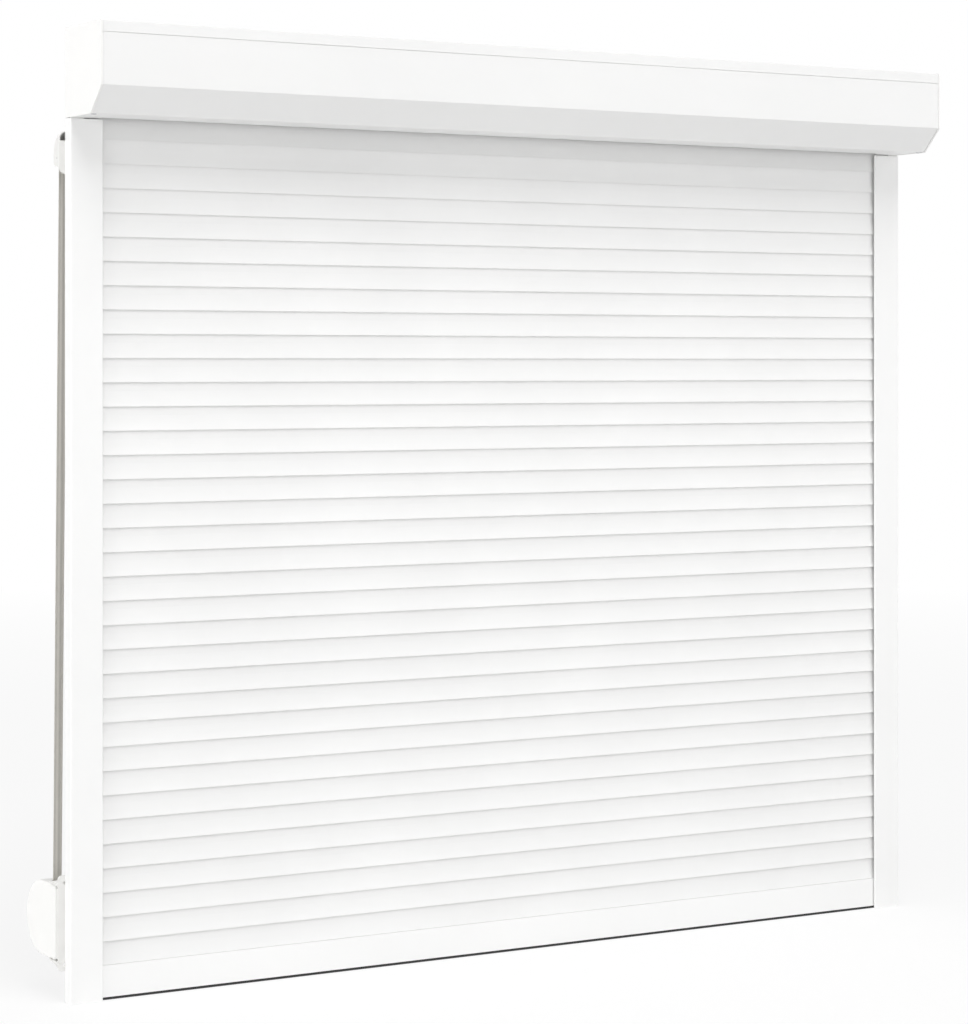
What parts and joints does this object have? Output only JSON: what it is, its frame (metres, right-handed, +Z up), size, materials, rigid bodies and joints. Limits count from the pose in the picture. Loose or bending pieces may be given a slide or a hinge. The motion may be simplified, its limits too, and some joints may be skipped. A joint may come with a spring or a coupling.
{
  "type": "roller shutter",
  "caption": "Front-mounted roller shutter: closed slatted curtain in two guide rails under a box with a sloped lower front edge, worked by a strap and a swivelling strap winder.",
  "frame": {"origin": "centre of the back face of the box, in the plane of the wall", "axes": "+X along the box to the right as seen from outside, +Y into the wall, +Z up"},
  "size_m": [1.6025, 0.261, 1.479],
  "materials": {
    "white_aluminium": "white powder coat, satin",
    "white_slat": "white stove enamel, satin",
    "white_casting": "white powder coat on a die casting",
    "white_plastic": "white moulded plastic",
    "inner_plastic": "grey moulded plastic",
    "black_seal": "black rubber",
    "brush_pile": "grey pile",
    "strap_webbing": "woven, grey-beige with lighter edge stripes",
    "zinc_steel": "zinc coated",
    "plain_steel": "bright steel"
  },
  "bodies": {
    "frame": {"box_shell": "white_aluminium", "inspection_cover": "white_aluminium", "cover_screws": "plain_steel", "left_end_cap": "white_casting", "right_end_cap": "white_casting", "left_rail": "white_aluminium", "right_rail": "white_aluminium", "rail_brushes": "brush_pile", "shaft_bearings": "plain_steel", "strap": "strap_webbing", "strap_guide": "white_plastic", "winder_bracket": "white_plastic"},
    "curtain_foot": {"end_slat": "white_aluminium", "end_slat_seal": "black_seal"},
    "shaft": {"shaft_tube": "zinc_steel", "strap_disc": "inner_plastic", "strap_roll": "strap_webbing", "shaft_end_plug": "inner_plastic"},
    "roller": {"guide_roller": "inner_plastic"},
    "winder": {"winder_shell_left": "white_plastic", "winder_shell_right": "white_plastic", "winder_screws": "plain_steel", "winder_spring": "zinc_steel"},
    "reel": {"winder_reel": "inner_plastic"},
    "slat_01_body": {"slat_01": "white_slat"},
    "slat_02_body": {"slat_02": "white_slat"},
    "slat_03_body": {"slat_03": "white_slat"},
    "slat_04_body": {"slat_04": "white_slat"},
    "slat_05_body": {"slat_05": "white_slat"},
    "slat_06_body": {"slat_06": "white_slat"},
    "slat_07_body": {"slat_07": "white_slat"},
    "slat_08_body": {"slat_08": "white_slat"},
    "slat_09_body": {"slat_09": "white_slat"},
    "slat_10_body": {"slat_10": "white_slat"},
    "slat_11_body": {"slat_11": "white_slat"},
    "slat_12_body": {"slat_12": "white_slat"},
    "slat_13_body": {"slat_13": "white_slat"},
    "slat_14_body": {"slat_14": "white_slat"},
    "slat_15_body": {"slat_15": "white_slat"},
    "slat_16_body": {"slat_16": "white_slat"},
    "slat_17_body": {"slat_17": "white_slat"},
    "slat_18_body": {"slat_18": "white_slat"},
    "slat_19_body": {"slat_19": "white_slat"},
    "slat_20_body": {"slat_20": "white_slat"},
    "slat_21_body": {"slat_21": "white_slat"},
    "slat_22_body": {"slat_22": "white_slat"},
    "slat_23_body": {"slat_23": "white_slat"},
    "slat_24_body": {"slat_24": "white_slat"},
    "slat_25_body": {"slat_25": "white_slat"},
    "slat_26_body": {"slat_26": "white_slat"},
    "slat_27_body": {"slat_27": "white_slat"},
    "slat_28_body": {"slat_28": "white_slat"},
    "slat_29_body": {"slat_29": "white_slat"},
    "slat_30_body": {"slat_30": "white_slat"},
    "slat_31_body": {"slat_31": "white_slat"},
    "slat_32_body": {"slat_32": "white_slat"},
    "slat_33_body": {"slat_33": "white_slat"},
    "slat_34_body": {"slat_34": "white_slat"},
    "slat_35_body": {"slat_35": "white_slat", "suspension_strips": "zinc_steel"}
  },
  "joints": [
    {"name": "curtain_lift", "type": "slide", "parent": "frame", "child": "curtain_foot", "axis": [0, 0, 1], "range_m": [0, 0.045]},
    {"name": "winder_swivel", "type": "hinge", "parent": "frame", "child": "winder", "pos_m": [-0.7955, 0.029, -1.29], "axis": [0, 0, 1], "range_deg": [-75, 75]},
    {"name": "slat_01_slide", "type": "slide", "parent": "frame", "child": "slat_01_body", "axis": [0, 0, 1], "range_m": [0, 0.04605]},
    {"name": "slat_02_slide", "type": "slide", "parent": "frame", "child": "slat_02_body", "axis": [0, 0, 1], "range_m": [0, 0.04705]},
    {"name": "slat_03_slide", "type": "slide", "parent": "frame", "child": "slat_03_body", "axis": [0, 0, 1], "range_m": [0, 0.04805]},
    {"name": "slat_04_slide", "type": "slide", "parent": "frame", "child": "slat_04_body", "axis": [0, 0, 1], "range_m": [0, 0.04905]},
    {"name": "slat_05_slide", "type": "slide", "parent": "frame", "child": "slat_05_body", "axis": [0, 0, 1], "range_m": [0, 0.05005]},
    {"name": "slat_06_slide", "type": "slide", "parent": "frame", "child": "slat_06_body", "axis": [0, 0, 1], "range_m": [0, 0.05105]},
    {"name": "slat_07_slide", "type": "slide", "parent": "frame", "child": "slat_07_body", "axis": [0, 0, 1], "range_m": [0, 0.05205]},
    {"name": "slat_08_slide", "type": "slide", "parent": "frame", "child": "slat_08_body", "axis": [0, 0, 1], "range_m": [0, 0.05305]},
    {"name": "slat_09_slide", "type": "slide", "parent": "frame", "child": "slat_09_body", "axis": [0, 0, 1], "range_m": [0, 0.05405]},
    {"name": "slat_10_slide", "type": "slide", "parent": "frame", "child": "slat_10_body", "axis": [0, 0, 1], "range_m": [0, 0.05505]},
    {"name": "slat_11_slide", "type": "slide", "parent": "frame", "child": "slat_11_body", "axis": [0, 0, 1], "range_m": [0, 0.05605]},
    {"name": "slat_12_slide", "type": "slide", "parent": "frame", "child": "slat_12_body", "axis": [0, 0, 1], "range_m": [0, 0.05705]},
    {"name": "slat_13_slide", "type": "slide", "parent": "frame", "child": "slat_13_body", "axis": [0, 0, 1], "range_m": [0, 0.05805]},
    {"name": "slat_14_slide", "type": "slide", "parent": "frame", "child": "slat_14_body", "axis": [0, 0, 1], "range_m": [0, 0.05905]},
    {"name": "slat_15_slide", "type": "slide", "parent": "frame", "child": "slat_15_body", "axis": [0, 0, 1], "range_m": [0, 0.06005]},
    {"name": "slat_16_slide", "type": "slide", "parent": "frame", "child": "slat_16_body", "axis": [0, 0, 1], "range_m": [0, 0.06105]},
    {"name": "slat_17_slide", "type": "slide", "parent": "frame", "child": "slat_17_body", "axis": [0, 0, 1], "range_m": [0, 0.06205]},
    {"name": "slat_18_slide", "type": "slide", "parent": "frame", "child": "slat_18_body", "axis": [0, 0, 1], "range_m": [0, 0.06305]},
    {"name": "slat_19_slide", "type": "slide", "parent": "frame", "child": "slat_19_body", "axis": [0, 0, 1], "range_m": [0, 0.06405]},
    {"name": "slat_20_slide", "type": "slide", "parent": "frame", "child": "slat_20_body", "axis": [0, 0, 1], "range_m": [0, 0.06505]},
    {"name": "slat_21_slide", "type": "slide", "parent": "frame", "child": "slat_21_body", "axis": [0, 0, 1], "range_m": [0, 0.06605]},
    {"name": "slat_22_slide", "type": "slide", "parent": "frame", "child": "slat_22_body", "axis": [0, 0, 1], "range_m": [0, 0.06705]},
    {"name": "slat_23_slide", "type": "slide", "parent": "frame", "child": "slat_23_body", "axis": [0, 0, 1], "range_m": [0, 0.06805]},
    {"name": "slat_24_slide", "type": "slide", "parent": "frame", "child": "slat_24_body", "axis": [0, 0, 1], "range_m": [0, 0.06905]},
    {"name": "slat_25_slide", "type": "slide", "parent": "frame", "child": "slat_25_body", "axis": [0, 0, 1], "range_m": [0, 0.07005]},
    {"name": "slat_26_slide", "type": "slide", "parent": "frame", "child": "slat_26_body", "axis": [0, 0, 1], "range_m": [0, 0.07105]},
    {"name": "slat_27_slide", "type": "slide", "parent": "frame", "child": "slat_27_body", "axis": [0, 0, 1], "range_m": [0, 0.07205]},
    {"name": "slat_28_slide", "type": "slide", "parent": "frame", "child": "slat_28_body", "axis": [0, 0, 1], "range_m": [0, 0.07305]},
    {"name": "slat_29_slide", "type": "slide", "parent": "frame", "child": "slat_29_body", "axis": [0, 0, 1], "range_m": [0, 0.07405]},
    {"name": "slat_30_slide", "type": "slide", "parent": "frame", "child": "slat_30_body", "axis": [0, 0, 1], "range_m": [0, 0.07505]},
    {"name": "slat_31_slide", "type": "slide", "parent": "frame", "child": "slat_31_body", "axis": [0, 0, 1], "range_m": [0, 0.07605]},
    {"name": "slat_32_slide", "type": "slide", "parent": "frame", "child": "slat_32_body", "axis": [0, 0, 1], "range_m": [0, 0.07705]},
    {"name": "slat_33_slide", "type": "slide", "parent": "frame", "child": "slat_33_body", "axis": [0, 0, 1], "range_m": [0, 0.07805]},
    {"name": "slat_34_slide", "type": "slide", "parent": "frame", "child": "slat_34_body", "axis": [0, 0, 1], "range_m": [0, 0.07905]},
    {"name": "slat_35_slide", "type": "slide", "parent": "frame", "child": "slat_35_body", "axis": [0, 0, 1], "range_m": [0, 0.08005]},
    {"name": "shaft_turn", "type": "hinge", "parent": "frame", "child": "shaft", "pos_m": [0, -0.0685, 0], "axis": [1, 0, 0], "range_deg": [0, 134.95]},
    {"name": "guide_roller_turn", "type": "hinge", "parent": "frame", "child": "roller", "pos_m": [-0.7904, 0.011, -0.1292], "axis": [1, 0, 0], "range_deg": [-850.58, 0]},
    {"name": "winder_reel_turn", "type": "hinge", "parent": "winder", "child": "reel", "pos_m": [-0.7955, 0.067, -1.29], "axis": [1, 0, 0], "range_deg": [0, 145.44]}
  ],
  "couplings": [
    {"joint": "slat_01_slide", "follows": "curtain_lift", "ratio": 1.0222},
    {"joint": "slat_02_slide", "follows": "curtain_lift", "ratio": 1.0444},
    {"joint": "slat_03_slide", "follows": "curtain_lift", "ratio": 1.0667},
    {"joint": "slat_04_slide", "follows": "curtain_lift", "ratio": 1.0889},
    {"joint": "slat_05_slide", "follows": "curtain_lift", "ratio": 1.1111},
    {"joint": "slat_06_slide", "follows": "curtain_lift", "ratio": 1.1333},
    {"joint": "slat_07_slide", "follows": "curtain_lift", "ratio": 1.1556},
    {"joint": "slat_08_slide", "follows": "curtain_lift", "ratio": 1.1778},
    {"joint": "slat_09_slide", "follows": "curtain_lift", "ratio": 1.2},
    {"joint": "slat_10_slide", "follows": "curtain_lift", "ratio": 1.2222},
    {"joint": "slat_11_slide", "follows": "curtain_lift", "ratio": 1.2444},
    {"joint": "slat_12_slide", "follows": "curtain_lift", "ratio": 1.2667},
    {"joint": "slat_13_slide", "follows": "curtain_lift", "ratio": 1.2889},
    {"joint": "slat_14_slide", "follows": "curtain_lift", "ratio": 1.3111},
    {"joint": "slat_15_slide", "follows": "curtain_lift", "ratio": 1.3333},
    {"joint": "slat_16_slide", "follows": "curtain_lift", "ratio": 1.3556},
    {"joint": "slat_17_slide", "follows": "curtain_lift", "ratio": 1.3778},
    {"joint": "slat_18_slide", "follows": "curtain_lift", "ratio": 1.4},
    {"joint": "slat_19_slide", "follows": "curtain_lift", "ratio": 1.4222},
    {"joint": "slat_20_slide", "follows": "curtain_lift", "ratio": 1.4444},
    {"joint": "slat_21_slide", "follows": "curtain_lift", "ratio": 1.4667},
    {"joint": "slat_22_slide", "follows": "curtain_lift", "ratio": 1.4889},
    {"joint": "slat_23_slide", "follows": "curtain_lift", "ratio": 1.5111},
    {"joint": "slat_24_slide", "follows": "curtain_lift", "ratio": 1.5333},
    {"joint": "slat_25_slide", "follows": "curtain_lift", "ratio": 1.5556},
    {"joint": "slat_26_slide", "follows": "curtain_lift", "ratio": 1.5778},
    {"joint": "slat_27_slide", "follows": "curtain_lift", "ratio": 1.6},
    {"joint": "slat_28_slide", "follows": "curtain_lift", "ratio": 1.6222},
    {"joint": "slat_29_slide", "follows": "curtain_lift", "ratio": 1.6444},
    {"joint": "slat_30_slide", "follows": "curtain_lift", "ratio": 1.6667},
    {"joint": "slat_31_slide", "follows": "curtain_lift", "ratio": 1.6889},
    {"joint": "slat_32_slide", "follows": "curtain_lift", "ratio": 1.7111},
    {"joint": "slat_33_slide", "follows": "curtain_lift", "ratio": 1.7333},
    {"joint": "slat_34_slide", "follows": "curtain_lift", "ratio": 1.7556},
    {"joint": "slat_35_slide", "follows": "curtain_lift", "ratio": 1.7778},
    {"joint": "shaft_turn", "follows": "curtain_lift", "rad_per_m": 52.288},
    {"joint": "guide_roller_turn", "follows": "curtain_lift", "rad_per_m": -329.57},
    {"joint": "winder_reel_turn", "follows": "curtain_lift", "rad_per_m": 56.351}
  ]
}
